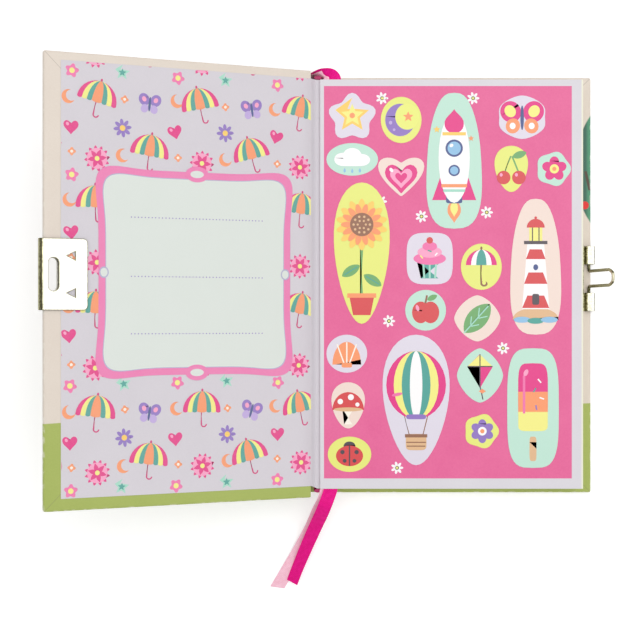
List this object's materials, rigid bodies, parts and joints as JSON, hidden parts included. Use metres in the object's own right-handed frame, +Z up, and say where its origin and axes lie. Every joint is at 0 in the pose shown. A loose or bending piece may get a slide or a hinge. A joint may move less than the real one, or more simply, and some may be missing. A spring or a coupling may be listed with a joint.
{
  "type": "secret diary",
  "caption": "Small lockable hardback diary, open flat: sewn pages, a sticker sheet, ribbon markers, a slotted hasp plate and a wire loop for a padlock.",
  "frame": {"origin": "middle of the back cover's underside, which lies on the table", "axes": "+Z up, out of the back cover; +X from the spine to the back cover's fore edge; +Y to the head of the book"},
  "size_m": [0.203, 0.1964, 0.0584],
  "materials": {
    "cover_paper": "matt printed paper, cream above and leaf green below",
    "board": "dense grey board",
    "endpaper": "uncoated paper printed with small motifs",
    "page_paper": "uncoated white paper",
    "lining_cloth": "open cotton weave, glued",
    "sheet_paper": "coated label paper, pink print with a pale border",
    "sticker_mint": "satin coated label paper",
    "sticker_yellow": "satin coated label paper",
    "sticker_lilac": "satin coated label paper",
    "sticker_peach": "satin coated label paper",
    "nickel_plate": "bright nickel plated steel sheet",
    "nickel_wire": "bright nickel plated steel wire",
    "magenta_satin": "woven satin",
    "pale_satin": "woven satin"
  },
  "bodies": {
    "back_cover": {"back_board": "board", "back_cover_paper": "cover_paper", "back_pastedown": "endpaper", "back_lock_plate": "nickel_plate"},
    "book_block": {"page_section_1": "page_paper", "page_section_2": "page_paper", "page_section_3": "page_paper", "page_section_4": "page_paper", "page_section_5": "page_paper", "page_section_6": "page_paper", "page_section_7": "page_paper", "page_section_8": "page_paper", "back_flyleaf": "endpaper", "front_flyleaf": "endpaper", "front_endpaper_fold": "endpaper", "back_endpaper_fold": "endpaper", "spine_paper": "cover_paper", "spine_inlay": "board", "spine_lining": "lining_cloth", "headband": "magenta_satin", "tailband": "magenta_satin", "ribbon_magenta": "magenta_satin", "ribbon_pale_pink": "pale_satin"},
    "front_cover": {"front_board": "board", "front_cover_paper": "cover_paper", "front_pastedown": "endpaper", "front_lock_plate": "nickel_plate"},
    "sticker_sheet": {"sticker_sheet": "sheet_paper", "sticker_rocket": "sticker_mint", "sticker_sunflower": "sticker_yellow", "sticker_lighthouse": "sticker_peach", "sticker_air_balloon": "sticker_lilac", "sticker_ice_lolly": "sticker_mint", "sticker_star": "sticker_lilac", "sticker_moon": "sticker_yellow", "sticker_heart": "sticker_peach", "sticker_cloud": "sticker_mint", "sticker_butterfly": "sticker_lilac", "sticker_cherries": "sticker_yellow", "sticker_pink_flower": "sticker_mint", "sticker_cupcake": "sticker_lilac", "sticker_umbrella": "sticker_yellow", "sticker_apple": "sticker_mint", "sticker_leaf": "sticker_peach", "sticker_shell": "sticker_lilac", "sticker_mushroom": "sticker_peach", "sticker_ladybird": "sticker_yellow", "sticker_kite": "sticker_mint", "sticker_lilac_flower": "sticker_yellow"},
    "lock_loop": {"lock_loop": "nickel_wire"},
    "ribbon_tails": {"ribbon_magenta_tail": "magenta_satin", "ribbon_pale_pink_tail": "pale_satin"}
  },
  "joints": [
    {"name": "text_block_hinge", "type": "hinge", "parent": "back_cover", "child": "book_block", "pos_m": [-0.05289, 0, 0.0034], "axis": [0, -1, 0], "range_deg": [0, 150], "deforming": ["back_endpaper_fold", "spine_paper", "spine_inlay"]},
    {"name": "front_cover_hinge", "type": "hinge", "parent": "book_block", "child": "front_cover", "pos_m": [-0.05289, 0, 0.01731], "axis": [0, -1, 0], "range_deg": [-156.3, 30], "deforming": ["front_endpaper_fold"]},
    {"name": "sticker_sheet_turn", "type": "hinge", "parent": "book_block", "child": "sticker_sheet", "pos_m": [-0.05309, 0, 0.017], "axis": [0, -1, 0], "range_deg": [0, 146]},
    {"name": "lock_loop_pivot", "type": "hinge", "parent": "back_cover", "child": "lock_loop", "pos_m": [0.0485, 0.0024, 0.00315], "axis": [0, 1, 0], "range_deg": [-21.6, 77]},
    {"name": "ribbon_tails_swing", "type": "hinge", "parent": "book_block", "child": "ribbon_tails", "pos_m": [-0.0478, -0.075, 0.0166], "axis": [0, 0, 1], "range_deg": [-25, 60]}
  ]
}
